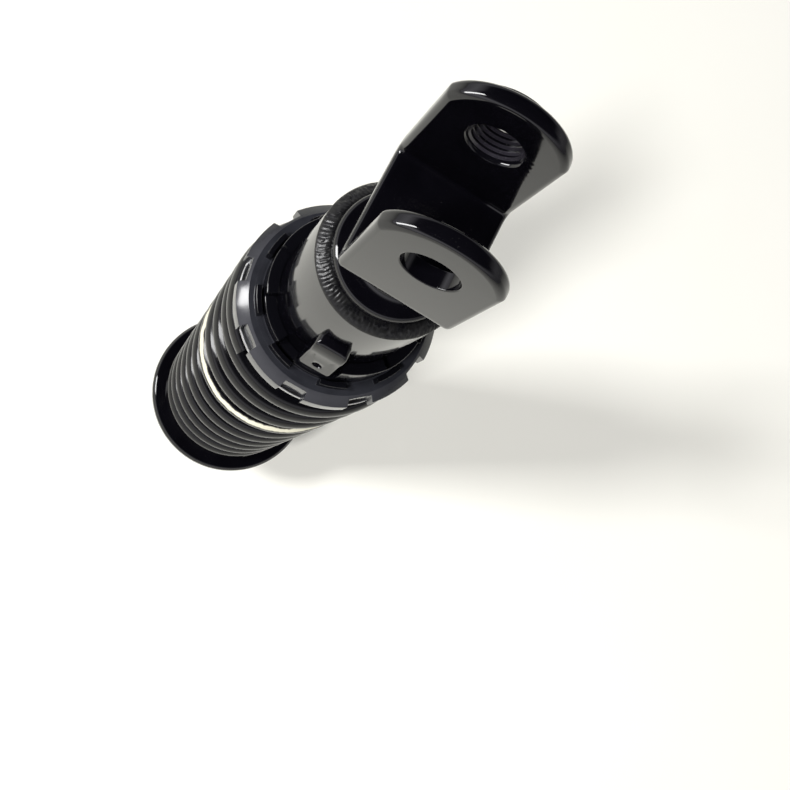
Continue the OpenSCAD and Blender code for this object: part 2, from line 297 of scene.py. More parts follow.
def turned_metal(name, base, rough, depth=0.05):
    """Machined metal with fine rings along the damper axis."""
    m = Nodes(name)
    v = m.coords()
    rings = m.noise(m.coords((6, 6, 240)), 2600 / 240, 3, 0.6)
    cloud = m.noise(v, 120, 4)
    colour = m.mix(m.remap(cloud, 0.3, 0.75, 0, 1), rgba(*base), rgba(*[c * 0.8 for c in base]))
    m.set(Base_Color=colour, Metallic=1.0, Roughness=m.remap(cloud, 0.3, 0.7, rough * 0.75, rough * 1.3))
    m.set(Normal=m.bump(rings, depth, 0.0002).outputs[0])
    return m.mat


def rubber(name, base=(0.018, 0.018, 0.019), rough=0.62):
    m = Nodes(name)
    v = m.coords()
    cloud = m.noise(v, 160, 5, 0.6)
    colour = m.mix(m.remap(cloud, 0.4, 0.75, 0, 1), rgba(*base), rgba(*[c * 2.2 for c in base]))
    m.set(Base_Color=colour, Roughness=m.remap(cloud, 0.3, 0.7, rough * 0.85, min(1, rough * 1.2)))
    m.set(Normal=m.bump(m.noise(v, 1500, 3), 0.15, 0.0003).outputs[0])
    return m.mat


def weld_paint(name):
    """Paint pooled over a rough weld: satin, with pits."""
    m = Nodes(name)
    v = m.coords()
    cloud = m.noise(v, 420, 6, 0.65)
    colour = m.mix(m.remap(cloud, 0.35, 0.7, 0, 1), rgba(0.002, 0.002, 0.003), rgba(0.009, 0.009, 0.009))
    m.set(Base_Color=colour, Roughness=m.remap(cloud, 0.3, 0.7, 0.2, 0.42), IOR=1.5, Specular_IOR_Level=0.36)
    m.set(Normal=m.bump(m.noise(v, 1300, 4, 0.6), 0.22, 0.0002).outputs[0])
    return m.mat


def spring_paint(name):
    """Gloss black coil paint with one pale painted stripe along the shoulder of a single coil."""
    m = Nodes(name)
    v = m.coords()
    uv = m.add("ShaderNodeUVMap", uv_map="wire")
    part = m.add("ShaderNodeSeparateXYZ")
    m.link(uv.outputs["UV"], part.inputs[0])
    turn, round_ = part.outputs["X"], part.outputs["Y"]
    wobble = m.remap(m.noise(v, 260, 4, 0.6), 0.3, 0.7, -0.012, 0.012)
    across = m.math("ADD", round_, wobble)
    inside = m.math("MULTIPLY", m.remap(across, *STRIPE_LOW, 0, 1), m.remap(across, *STRIPE_HIGH, 1, 0))
    along = m.math("ADD", turn, m.math("MULTIPLY", wobble, 0.4))
    span = m.math("MULTIPLY", m.remap(along, *STRIPE_START, 0, 1), m.remap(along, *STRIPE_STOP, 1, 0))
    mask = m.math("MULTIPLY", inside, span)
    chip = m.remap(m.noise(v, 900, 5, 0.7), 0.66, 0.7, 1, 0.55)
    mask = m.math("MULTIPLY", mask, chip)
    cloud = m.noise(v, 90, 5, 0.55)
    black = m.mix(m.remap(cloud, 0.3, 0.7, 0, 1), rgba(0.0016, 0.0016, 0.0024), rgba(0.0032, 0.0032, 0.0042))
    cream = m.mix(m.remap(cloud, 0.3, 0.7, 0, 1), rgba(0.74, 0.72, 0.6), rgba(0.64, 0.62, 0.5))
    m.set(Base_Color=m.mix(mask, black, cream), IOR=1.5, Specular_IOR_Level=0.3)
    m.set(Roughness=m.math("ADD", m.remap(cloud, 0.3, 0.7, 0.1, 0.17), m.math("MULTIPLY", mask, 0.25)))
    m.set(Normal=m.bump(m.noise(v, 420, 2, 0.5), 0.08, 0.0001).outputs[0])
    return m.mat


STRIPE_LOW = (0.05, 0.066)
STRIPE_HIGH = (0.112, 0.13)
STRIPE_START = (3.45, 3.47)
STRIPE_STOP = (4.55, 4.57)

PAINT = gloss_paint("gloss_black", (0.0014, 0.0013, 0.0022))
CAM_PAINT = cam_paint("cam_black")
THREAD_PAINT = gloss_paint("thread_black", (0.012, 0.011, 0.015), rough=0.24, peel=0.15)
WELD = weld_paint("weld_black")
SPRING_PAINT = spring_paint("spring_black")
STEEL = turned_metal("plated_steel", (0.56, 0.56, 0.57), 0.32)
SHIM = turned_metal("spring_steel", (0.46, 0.47, 0.5), 0.2)
CHROME = turned_metal("hard_chrome", (0.78, 0.79, 0.8), 0.06, depth=0.01)
ALU = turned_metal("turned_aluminium", (0.78, 0.79, 0.8), 0.28, depth=0.09)
BRONZE = turned_metal("ptfe_bronze", (0.55, 0.38, 0.16), 0.34)
RUBBER = rubber("black_rubber")
BAND = rubber("bearing_band", (0.22, 0.13, 0.05), 0.5)

# ---------------------------------------------------------------- clevis


def bracket():
    """Bent plate with rounded edges: a flat strip is filled, sliced and then bent into a U."""
    mid = BEND_R + PLATE_T / 2
    flat = GAP_HALF - BEND_R
    arc = mid * math.pi / 2
    rise = -(BASE_Z + PLATE_T + BEND_R)
    pin = flat + arc + rise
    edge, hole_edge, rings = 1.5, 0.35, 6
    w0, r0 = PLATE_HALF_W, EAR_R
    t = PLATE_T / 2

    def outer(d):
        w, r = w0 - d, r0 - d
        step = math.sqrt(r * r - w * w)
        start = math.asin(step / r)
        loop = []
        for side in (1, -1):
            for k in range(41):
                s = side * (-(pin + step) + 2 * (pin + step) * k / 40)
                loop.append((side * w, s))
            for k in range(1, 64):
                a = start + (math.pi - 2 * start) * k / 64
                loop.append((side * r * math.cos(a), side * (pin + r * math.sin(a))))
        return loop

    def ring(r, s, count=96):
        turns = [2 * math.pi * k / count for k in range(count)]
        return [(r * math.cos(a), s + r * math.sin(a)) for a in turns]

    def round_edge(loop_at, b):
        """Rings from the face to mid thickness, rounded by b."""
        out = []
        for k in range(rings + 1):
            a = (1 - k / rings) * math.pi / 2
            out.append((loop_at(b * (1 - math.cos(a))), t - b + b * math.sin(a)))
        return out

    bm = bmesh.new()

    def skin(levels):
        """Quads between rings of equal length; returns first and last ring."""
        made = [[bm.verts.new((x, s, h)) for x, s in loop] for loop, h in levels]
        for a, b in zip(made, made[1:]):
            n = len(a)
            for k in range(n):
                bm.faces.new((a[k], a[(k + 1) % n], b[(k + 1) % n], b[k]))
        return made[0], made[-1]

    def both(levels):
        return levels + [(loop, -h) for loop, h in reversed(levels)]

    tops, bottoms = [], []
    a, b = skin(both(round_edge(outer, edge)))
    tops.append(a)
    bottoms.append(b)
    a, b = skin(both(round_edge(lambda d: ring(PLAIN_R + d, -pin), hole_edge)))
    tops.append(a)
    bottoms.append(b)
    tapped = [(ring(THREAD_MOUTH_R + 0.15, pin), t), (ring(THREAD_MOUTH_R, pin), t - 0.08),
              (ring(THREAD_ROOT_R, pin), t - THREAD_SINK), (ring(THREAD_ROOT_R, pin), -t)]
    a, b = skin(tapped)
    tops.append(a)
    bottoms.append(b)
    for group in (tops, bottoms):
        edges = []
        for loop in group:
            for k in range(len(loop)):
                edges.append(bm.edges.get((loop[k], loop[(k + 1) % len(loop)])))
        bmesh.ops.triangle_fill(bm, use_beauty=True, use_dissolve=False, edges=edges)
    for side in (-1, 1):
        for k in range(19):
            cut = side * (flat + arc * k / 18)
            geom = bm.verts[:] + bm.edges[:] + bm.faces[:]
            bmesh.ops.bisect_plane(bm, geom=geom, plane_co=(0, cut, 0), plane_no=(0, 1, 0), dist=1e-5)
    for v in bm.verts:
        x, s, h = v.co
        side = 1 if s >= 0 else -1
        d = abs(s)
        if d <= flat:
            y, z = s, BASE_Z + t + h
        elif d <= flat + arc:
            a = (d - flat) / mid
            y = side * (flat + (mid - h) * math.sin(a))
            z = BASE_Z + PLATE_T + BEND_R - (mid - h) * math.cos(a)
        else:
            y = side * (flat + mid - h)
            z = BASE_Z + PLATE_T + BEND_R + d - flat - arc
        v.co = (Vector((x, y, z)) + LIFT) * MM
    bmesh.ops.recalc_face_normals(bm, faces=bm.faces[:])
    me = bpy.data.meshes.new("bracket")
    bm.to_mesh(me)
    bm.free()
    me.shade_smooth()
    me.set_sharp_from_angle(angle=38 * DEG)
    me.materials.append(PAINT)
    ob = bpy.data.objects.new("bracket", me)
    bpy.context.scene.collection.objects.link(ob)
    weighted = ob.modifiers.new("normals", "WEIGHTED_NORMAL")
    weighted.keep_sharp = True
    weighted.weight = 100
    return ob


THREAD_ROOT_R = 5.95
THREAD_TIP_R = 5.4
THREAD_MOUTH_R = 6.45
THREAD_SINK = 0.75
THREAD_PITCH = 1.25
BOSS_R = 9.5


def thread():
    """Helical ridge lining the tapped ear."""
    y0, y1 = GAP_HALF + 0.45, BOSS_END - 0.6
    turns = (y1 - y0) / THREAD_PITCH
    count = int(turns * 72)
    section = ((False, 0.48), (True, 0.08), (True, -0.08), (False, -0.48))
    verts, faces = [], []
    for i in range(count + 1):
        f = i / count
        a = 2 * math.pi * turns * f
        fade = min(1, f * turns * 1.5)
        y = y0 + (y1 - y0) * f
        for crest, dy in section:
            tip = THREAD_TIP_R if crest else THREAD_ROOT_R + 0.25
            r = tip + (THREAD_ROOT_R + 0.2 - tip) * (1 - fade)
            yy = min(max(y + dy * THREAD_PITCH * 0.86, GAP_HALF + 0.25), BOSS_END - 0.02)
            verts.append((r * math.cos(a), yy, r * math.sin(a)))
    for i in range(count):
        for k in range(4):
            a, b = i * 4 + k, i * 4 + (k + 1) % 4
            faces.append((a, b, b + 4, a + 4))
    faces.append((3, 2, 1, 0))
    faces.append(tuple(count * 4 + k for k in range(4)))
    return new_object("ear_thread", verts, faces, THREAD_PAINT, 30)


boss_base = GAP_HALF + PLATE_T - 0.4
boss_outline = fillet([
    (THREAD_ROOT_R, boss_base, 0), (BOSS_R, boss_base, 0), (BOSS_R, BOSS_END, 0.5),
    (THREAD_ROOT_R + 0.15, BOSS_END, 0.1), (THREAD_ROOT_R, BOSS_END - 0.2, 0.1)])
place(bracket(), "damper", "gloss_black_paint", "clevis_bracket")
place(lathe("ear_boss", boss_outline, PAINT, 120, axis="y"), "damper", "gloss_black_paint")
place(thread(), "damper", "gloss_black_paint")

# ---------------------------------------------------------------- end cap and welds


def bead(name, r_in, r_out, z_in, z_out, height, count, seed, material):
    """Weld bead lying between two edges, built of overlapping crescent ripples."""
    rows, segs = 16, 1440
    verts, faces = [], []
    lean = math.atan2(z_out - z_in, r_out - r_in)
    for i in range(segs):
        a = 2 * math.pi * i / segs
        round_ = Vector((math.cos(a), math.sin(a), 0))
        drift = noise.noise(round_ * 3 + Vector((0, 0, seed)))
        jog = noise.noise(round_ * 14 + Vector((0, 0, seed + 5)))
        for j in range(rows + 1):
            q = -1 + 2 * j / rows
            ripple = (count * a / (2 * math.pi) + 0.5 * q * q + 0.25 * drift) % 1.0
            crest = 0.5 - abs(ripple - 0.5) ** 1.5 * 2
            dome = max(0.0, 1 - q * q) ** 0.6
            grain = noise.noise(Vector((math.cos(a) * 22, math.sin(a) * 22, q * 2 + seed)))
            h = dome * height * (0.8 + 0.28 * crest + 0.3 * drift + 0.3 * grain)
            side = (q + 0.07 * jog * (1 - q * q)) * 0.5 + 0.5
            r = r_in + (r_out - r_in) * side - h * math.sin(lean)
            z = z_in + (z_out - z_in) * side + h * math.cos(lean)
            verts.append((r * math.cos(a), r * math.sin(a), z))
    n = rows + 1
    for i in range(segs):
        k = (i + 1) % segs
        for j in range(rows):
            faces.append((i * n + j, i * n + j + 1, k * n + j + 1, k * n + j))
        faces.append((i * n + rows, i * n, k * n, k * n + rows))
    return new_object(name, verts, faces, material, 60)


cap_top, plug_end = BASE_Z - 1.0, RIM_Z - 11.9
cap_outline = fillet([
    (0.01, cap_top, 0), (CAP_NECK_R, cap_top, 0.4), (CAP_NECK_R, RIM_Z + 5.2, 5.0),
    (CAP_R - 0.2, RIM_Z + 3.2, 2.6), (CAP_R, RIM_Z + 0.9, 0.3), (CAP_R, RIM_Z - 1.2, 0.1),
    (CAP_R + 0.5, RIM_Z - 1.2, 0), (CAP_R + 0.5, plug_end, 0.4), (0.01, plug_end, 0)], 14)
place(lathe("cap_dome", cap_outline, PAINT, 256), "damper", "gloss_black_paint", "end_cap")
place(bead("cap_bead", CAP_R - 0.15, TUBE_R + 0.02, RIM_Z + 0.9, RIM_Z - 1.75, 0.42, 110, 3, WELD),
      "damper", "black_weld", "cap_weld")
place(bead("clevis_bead", 7.4, 10.6, BASE_Z - 0.1, BASE_Z - 1.3, 0.5, 34, 11, WELD),
      "damper", "black_weld", "clevis_weld")

tube_in, tube_end = 16.0, TUBE_LO.z
tube_outline = fillet([
    (tube_in, RIM_Z - 0.1, 0.1), (tube_in + 0.6, RIM_Z - 0.1, 0.3), (TUBE_R, RIM_Z - 1.8, 0.6),
    (TUBE_R, tube_end, 0.4), (tube_in + 0.3, tube_end, 0.2), (tube_in, tube_end + 0.8, 0.2),
    (tube_in, tube_end + 2.0, 0.1), (tube_in + 1.2, tube_end + 2.0, 0.1),
    (tube_in + 1.2, tube_end + 3.6, 0.1), (tube_in, tube_end + 3.6, 0.1)], 6)
place(lathe("tube_wall", tube_outline, PAINT, 288), "damper", "gloss_black_paint", "damper_tube")

# ---------------------------------------------------------------- stop lugs

LUG_W, LUG_TOP, LUG_LOW, LUG_FACE = 9.0, -64.7, -90.7, 21.4
LUG_SHOULDER, LUG_CORNER = 5.5, 1.6
LUG_EDGE, LUG_DIMPLE_Z, LUG_DIMPLE_R = 0.7, -77.6, 1.3
LUG_PROFILE = ((LUG_LOW, 21.3), (-83.1, 21.3), (-82.3, 22.4), (-80.9, 22.9), (-68.7, 21.4))  # height, radius


def lug(name, turn):
    """Round nosed stop lug: a flat outline is filled, sliced and given its leaning pad and shoulder."""
    def face_radius(x, z):
        k = (z - LUG_TOP + LUG_SHOULDER) / LUG_SHOULDER
        if k > 0:
            return TUBE_R + 0.4 + (LUG_FACE - TUBE_R) * math.sqrt(max(0.0, 1 - k * k))
        c = max(0.0, abs(x) - LUG_W / 2 + LUG_CORNER) / LUG_CORNER
        z -= LUG_CORNER * (1 - math.sqrt(max(0.0, 1 - c * c))) * min(1.0, max(0.0, (-74 - z) / 6))
        for (z0, r0), (z1, r1) in zip(LUG_PROFILE, LUG_PROFILE[1:]):
            if z <= z1:
                return r0 + (r1 - r0) * max(0.0, z - z0) / (z1 - z0)
        return LUG_PROFILE[-1][1]

    def outer(d):
        w = LUG_W / 2 - d
        nose, top = LUG_W / 2 - 0.1 - d, 2.5 - d
        low, high = LUG_LOW + d, LUG_TOP - d
        return fillet([(-w, low, nose), (w, low, nose), (w, high, top), (-w, high, top)], 16)

    def ring(r, count=40):
        turns = [2 * math.pi * k / count for k in range(count)]
        return [(r * math.cos(a), LUG_DIMPLE_Z + r * math.sin(a)) for a in turns]

    bm = bmesh.new()

    def skin(levels):
        made = [[bm.verts.new((x, z, h)) for x, z in loop] for loop, h in levels]
        for a, b in zip(made, made[1:]):
            for k in range(len(a)):
                bm.faces.new((a[k], a[(k + 1) % len(a)], b[(k + 1) % len(b)], b[k]))
        return made

    steps = 6
    edge = [(outer(LUG_EDGE * (1 - math.cos(k / steps * math.pi / 2))),
             -LUG_EDGE + LUG_EDGE * math.sin(k / steps * math.pi / 2)) for k in range(steps + 1)]
    walls = skin([(outer(0), -5.0)] + edge)
    r = LUG_DIMPLE_R
    pit = skin([(ring(r + 0.22), 0.0), (ring(r + 0.06), -0.06), (ring(r), -0.22), (ring(r), -1.4),
                (ring(0.05), -1.9)])
    edges = [bm.edges.get((loop[k], loop[(k + 1) % len(loop)]))
             for loop in (walls[-1], pit[0]) for k in range(len(loop))]
    bmesh.ops.triangle_fill(bm, use_beauty=True, use_dissolve=False, edges=edges)
    bm.faces.new(pit[-1])
    bm.faces.new(walls[0])
    cuts = [LUG_TOP - LUG_SHOULDER + LUG_SHOULDER * math.cos(k / 12 * math.pi / 2) for k in range(1, 13)]
    cuts += [LUG_TOP - LUG_SHOULDER - 2.2 * k for k in range(1, 4)] + [-78.8 - 0.35 * k for k in range(15)]
    planes = [((0, z, 0), (0, 1, 0)) for z in cuts]
    for side in (-1, 1):
        corner = [side * (LUG_W / 2 - back) for back in (0.3, 0.6, 0.95, 1.3, LUG_CORNER)]
        planes += [((x, 0, 0), (1, 0, 0)) for x in corner]
    for at, normal in planes:
        geom = bm.verts[:] + bm.edges[:] + bm.faces[:]
        bmesh.ops.bisect_plane(bm, geom=geom, plane_co=at, plane_no=normal, dist=1e-5)
    c, q = math.cos(turn * DEG), math.sin(turn * DEG)
    for v in bm.verts:
        x, z, h = v.co
        r = face_radius(x, z) + h if h > -4.9 else TUBE_R - 2
        v.co = (Vector((r * c - x * q, r * q + x * c, z)) + LIFT) * MM
    bmesh.ops.recalc_face_normals(bm, faces=bm.faces[:])
    me = bpy.data.meshes.new(name)
    bm.to_mesh(me)
    bm.free()
    me.shade_smooth()
    me.set_sharp_from_angle(angle=42 * DEG)
    me.materials.append(PAINT)
    ob = bpy.data.objects.new(name, me)
    bpy.context.scene.collection.objects.link(ob)
    return ob


for side, turn in (("front", -90), ("back", 90)):
    place(lug("lug_" + side, turn), "damper", "gloss_black_paint", "stop_lugs")

# ---------------------------------------------------------------- stepped cam ring

CAM_IN, CAM_OUT = TUBE_R + 0.05, 21.7
CASTLE_IN, CASTLE_OUT, CASTLE_TOP = 22.3, 23.7, -89.6
LEDGE_R, FLANGE_R, NOTCH_R = 25.2, 28.1, 26.0
TREAD_LOW, TREAD_STEP, LOW_START, LOW_ARC, TREAD_ARC = -91.5, 3.0, -118.0, 46.0, 33.5
NOTCHES, NOTCH_HALF, CASTLE_HALF = 9, 3.4, 4.2
NOTCH_PITCH, NOTCH_MEAN_R, CASTLE_MEAN_R = 360.0 / NOTCHES, 27.0, 23.0


def ease(x):
    x = min(1.0, max(0.0, x))
    return x * x * (3 - 2 * x)


def tread_z(deg):
    """Height of the stepped face at an angle; each step is a steep wall with rounded corners."""
    a = (deg - LOW_START) % 180.0
    soft = 0.55
    walls = [(0.0, 0, 1)] + [(180.0 - k * TREAD_ARC, k, k + 1) for k in (1, 2, 3)] + [(LOW_ARC, 0, 4)]
    if a <= LOW_ARC:
        level = 0
    else:
        level = min(4, int((180.0 - a) / TREAD_ARC) + 1)
    z = TREAD_LOW + TREAD_STEP * level
    for at, low, high in walls:
        for base in (at, at + 180.0):
            d = a - base
            if abs(d) < soft:
                up = ease(0.5 + d / (2 * soft)) if base % 180.0 == LOW_ARC else ease(0.5 - d / (2 * soft))
                return TREAD_LOW + TREAD_STEP * (low + (high - low) * up)
    return z


def notch_depth(deg, half, radius, soft):
    """1 inside a notch, 0 between notches."""
    off = abs((deg + 90.0 + NOTCH_PITCH / 2) % NOTCH_PITCH - NOTCH_PITCH / 2)
    edge = math.degrees(math.asin(half / radius))
    return ease(0.5 + (edge - off) / soft)


def cam_outline(a):
    deg = math.degrees(a)
    top = tread_z(deg)
    notch = notch_depth(deg, NOTCH_HALF, NOTCH_MEAN_R, 0.7)
    castle = notch_depth(deg, CASTLE_HALF, CASTLE_MEAN_R, 0.9)
    off = ((deg + 90.0 + NOTCH_PITCH / 2) % NOTCH_PITCH - NOTCH_PITCH / 2) * DEG
    wall = FLANGE_R + (NOTCH_R / math.cos(off) - FLANGE_R) * notch
    crest = CASTLE_TOP + (FLANGE_TOP + 0.04 - CASTLE_TOP) * castle
    rim = FLANGE_TOP - (wall - LEDGE_R)
    return fillet([
        (CAM_IN, FLANGE_LOW, 0.2), (wall - 0.3, FLANGE_LOW, 0.2), (wall, FLANGE_LOW + 0.3, 0.2),
        (wall, rim, 0.28), (LEDGE_R, FLANGE_TOP, 0.2), (CASTLE_OUT, FLANGE_TOP, 0.15),
        (CASTLE_OUT, crest, 0.2), (CASTLE_IN, crest, 0.2), (CASTLE_IN, FLANGE_TOP - 0.02, 0.12),
        (CAM_OUT, FLANGE_TOP - 0.02, 0.12), (CAM_OUT, top, 0.35), (CAM_IN, top, 0.2)], 4)


def cam_angles():
    """Every whole degree, and closer angles where a step or a notch has its wall."""
    spots = {float(k) for k in range(360)}

    def crowd(at, step):
        spots.update(round((at + d * step) % 360, 3) for d in range(-6, 7))

    for k in range(2):
        for at in [0.0] + [180.0 - j * TREAD_ARC for j in (1, 2, 3)] + [LOW_ARC]:
            crowd(LOW_START + at + 180.0 * k, 0.11)
    for k in range(NOTCHES):
        for half, radius in ((NOTCH_HALF, NOTCH_MEAN_R), (CASTLE_HALF, CASTLE_MEAN_R)):
            edge = math.degrees(math.asin(half / radius))
            for side in (-1, 1):
                crowd(-90.0 + k * NOTCH_PITCH + side * edge, 0.1)
    return [d * DEG for d in sorted(spots)]


cam = columns("cam_steps", cam_angles(), cam_outline, CAM_PAINT, 50)
place(cam, "preload_cam", "black_cam", "cam_ring")

perch_outline = fillet([
    (CAM_IN, FLANGE_LOW, 0.2), (CAM_IN, FLANGE_LOW - 6.6, 0.2), (19.4, FLANGE_LOW - 6.6, 0.3),
    (19.4, FLANGE_LOW - 1.6, 0.4), (26.9, FLANGE_LOW - 1.6, 0.5), (26.9, FLANGE_LOW, 0.5)], 5)
place(lathe("perch_washer", perch_outline, STEEL, 220), "preload_base", "plated_steel", "spring_perch")

# ---------------------------------------------------------------- CAD pieces kept, with edges broken


def soften(node, material, width):
    """Welds the CAD faces together and breaks their sharp edges."""
    ob = frame["nodes"][node]
    ob.data.materials.clear()
    ob.data.materials.append(material)
    weld = ob.modifiers.new("weld", "WELD")
    weld.merge_threshold = 2e-6
    if width > 0:
        bevel = ob.modifiers.new("edge", "BEVEL")
        bevel.width = width * MM
        bevel.segments = 3
        bevel.limit_method = "ANGLE"
        bevel.angle_limit = 32 * DEG
        bevel.harden_normals = True
        bevel.use_clamp_overlap = True
    return ob


for name, material, width in (
        ("floating_piston", ALU, 0.2), ("floating_piston_ring", RUBBER, 0), ("piston", ALU, 0.15),
        ("piston_band", BAND, 0.1), ("compression_shims", SHIM, 0.05), ("rebound_shims", SHIM, 0.05),
        ("piston_nut", STEEL, 0.25), ("rod_guide", ALU, 0.2), ("guide_bushing", BRONZE, 0.15),
        ("guide_o_ring", RUBBER, 0), ("oil_seal", RUBBER, 0.15), ("guide_snap_ring", SHIM, 0.2)):
    soften(name, material, width)

# ---------------------------------------------------------------- spring


WIRE_R = 4.4
TURNS = 10.8
START = -126 * DEG
COIL_R = SPRING_HI.x - WIRE_R
TOP_Z = SPRING_HI.z - WIRE_R
END_Z = SPRING_LO.z + WIRE_R
CLOSED = 2 * WIRE_R + 0.3
PITCH = (TOP_Z - END_Z - 2 * CLOSED) / (TURNS - 2)
SPLIT = 2.9


def wire_z(t):
    """Height of the wire centre after t turns."""
    if t < 1:
        return TOP_Z - CLOSED * t
    if t > TURNS - 1:
        return END_Z + CLOSED * (TURNS - t)
    return TOP_Z - CLOSED - PITCH * (t - 1)


def coil(name, t0, t1, cap_start, cap_end):
    """Length of the spring from turn t0 to t1, and the turn of each vertex."""
    per_turn, sides = 96, 40
    n = int((t1 - t0) * per_turn)
    verts, faces, turn_of, uvs = [], [], [], []
    for i in range(n + 1):
        t = t0 + (t1 - t0) * i / n
        a = START - 2 * math.pi * t
        rate = CLOSED if t < 1 or t > TURNS - 1 else PITCH
        tilt = math.atan2(rate, 2 * math.pi * COIL_R)
        for s in range(sides):
            b = 2 * math.pi * s / sides
            u, v = WIRE_R * math.cos(b), WIRE_R * math.sin(b)
            verts.append(((COIL_R + u) * math.cos(a) - v * math.sin(tilt) * math.sin(a),
                          (COIL_R + u) * math.sin(a) + v * math.sin(tilt) * math.cos(a),
                          wire_z(t) + v * math.cos(tilt)))
            turn_of.append(t)
    for i in range(n):
        for s in range(sides):
            k = (s + 1) % sides
            faces.append((i * sides + s, i * sides + k, (i + 1) * sides + k, (i + 1) * sides + s))
            uvs.append((i, s))
    if cap_start:
        faces.append(tuple(reversed(range(sides))))
        uvs.append(None)
    if cap_end:
        faces.append(tuple(n * sides + s for s in range(sides)))
        uvs.append(None)
    ob = new_object(name, verts, faces, SPRING_PAINT, 50)
    layer = ob.data.uv_layers.new(name="wire")
    for poly, uv in zip(ob.data.polygons, uvs):
        if uv is None:
            continue
        i, s = uv
        for loop, (di, ds) in zip(poly.loop_indices, ((0, 0), (0, 1), (1, 1), (1, 0))):
            layer.data[loop].uv = (t0 + (t1 - t0) * (i + di) / n, (s + ds) / sides)
    return ob, turn_of


upper, upper_turns = coil("spring_upper", 0, SPLIT, True, False)
lower, lower_turns = coil("spring_lower", SPLIT, TURNS, False, True)
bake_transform(upper)
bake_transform(lower)
for ob in (upper, lower):
    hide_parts("spring")

# ---------------------------------------------------------------- lower end

seat_top, seat_r = -281.0, SEAT_HI.x
seat_outline = fillet([
    (6.6, seat_top - 1.9, 0.3), (10.6, seat_top - 1.9, 0.8), (10.6, seat_top + 0.6, 0.8),
    (17.4, seat_top + 0.6, 1.2), (17.4, seat_top + 5.4, 0.8), (19.5, seat_top + 5.4, 0.9),
    (19.5, seat_top, 1.4), (seat_r - 1.2, seat_top, 1.6), (seat_r, seat_top - 1.6, 1.2),
    (seat_r, seat_top - 4.4, 0.6), (seat_r - 2.2, seat_top - 4.4, 0.6), (seat_r - 2.6, seat_top - 2.9, 1.2),
    (11.6, seat_top - 2.9, 1.0), (10.3, seat_top - 3.4, 0.3), (6.6, seat_top - 3.4, 0.3)], 7)
place(lathe("seat_pressing", seat_outline, PAINT, 220), "rod", "gloss_black_paint", "lower_seat")

stop_outline = fillet([
    (6.0, seat_top + 2.3, 0.2), (11.6, seat_top + 2.3, 1.0), (12.9, seat_top + 6.0, 2.4),
    (9.8, seat_top + 10.0, 1.4), (12.2, seat_top + 13.6, 2.4), (9.4, seat_top + 17.6, 1.4),
    (11.2, seat_top + 20.4, 1.8), (9.0, seat_top + 23.4, 1.0), (7.8, seat_top + 25.4, 1.2),
    (6.0, seat_top + 25.4, 0.4)], 8)
place(lathe("bump_rubber", stop_outline, RUBBER, 120), "rod", "black_rubber", "bump_stop")

bump_lo, bump_hi = cad("top_out_bumper")
bump_outline = fillet([
    (6.05, bump_lo.z, 0.5), (10.9, bump_lo.z, 1.6), (10.2, (bump_lo.z + bump_hi.z) / 2, 3.0),
    (10.9, bump_hi.z, 1.6), (6.05, bump_hi.z, 0.5)], 7)
place(lathe("top_out_rubber", bump_outline, RUBBER, 96), "rod", "black_rubber", "top_out_bumper")

rod_lo, rod_hi = cad("piston_rod")
rod_outline = fillet([(0.01, rod_lo.z, 0), (6.0, rod_lo.z, 0.3), (6.0, -155.0, 0.4), (4.0, -155.0, 0.1),
                      (4.0, rod_hi.z, 0.4), (0.01, rod_hi.z, 0)], 5)
place(lathe("chrome_rod", rod_outline, CHROME, 128), "rod", "hard_chrome", "piston_rod")

cup_lo, cup_hi = cad("bump_stop_cup")
cup_outline = fillet([
    (6.1, cup_lo.z, 0.2), (15.0, cup_lo.z, 0.8), (15.0, cup_hi.z, 0.5), (13.6, cup_hi.z, 0.5),
    (13.6, cup_lo.z + 1.5, 0.5), (6.1, cup_lo.z + 1.5, 0.2)], 6)
place(lathe("stop_cup", cup_outline, STEEL, 128), "rod", "plated_steel", "bump_stop_cup")

wipe_lo, wipe_hi = cad("dust_wiper")
wipe_outline = fillet([
    (6.05, wipe_lo.z, 0.1), (7.2, wipe_lo.z, 0.4), (8.4, wipe_lo.z + 1.9, 0.6), (10.9, wipe_lo.z + 2.9, 0.6),
    (10.9, wipe_hi.z, 0.3), (6.6, wipe_hi.z, 0.3), (6.6, wipe_lo.z + 2.0, 0.3)], 6)
place(lathe("wiper_lip", wipe_outline, RUBBER, 96), "damper", "black_rubber", "dust_wiper")


def eye_part(name, outline, steps, material, segs):
    """Part of the lower eye, turned round the bolt axis."""
    return lathe(name, fillet(outline, steps), material, segs, axis="y", centre=(0, 0, EYE_Z))


half = cad("eye_rubber")[1].y
bush = [(8.06, half - 0.2, 0.5), (8.9, half + 0.5, 0.4), (9.4, half - 1.4, 0.8), (10.5, half - 1.5, 0.7),
        (11.25, half - 0.4, 0.4), (11.25, -half + 0.4, 0.4), (10.5, -half + 1.5, 0.7),
        (9.4, -half + 1.4, 0.8), (8.9, -half - 0.5, 0.4), (8.06, -half + 0.2, 0.5)]
shell = [(11.3, -12, 0.3), (12.5, -12, 0.3), (12.5, 12, 0.3), (11.3, 12, 0.3)]
core = [(5.25, -14, 0.5), (8.0, -14, 0.4), (8.0, 14, 0.4), (5.25, 14, 0.5)]
ring = [(12.5, -12, 0.8), (17.0, -12, 1.6), (17.0, 12, 1.6), (12.5, 12, 0.8)]
place(eye_part("eye_bush", bush, 6, RUBBER, 120), "rod", "black_rubber", "eye_rubber")
place(eye_part("eye_tube", shell, 4, STEEL, 160), "rod", "plated_steel", "eye_shell")
place(eye_part("eye_core", core, 5, STEEL, 128), "sleeve", "plated_steel", "eye_sleeve")
place(eye_part("eye_ring", ring, 6, PAINT, 180), "rod", "gloss_black_paint", "lower_eye")

NECK_R, NECK_TOP = 10.5, EYE_HI.z


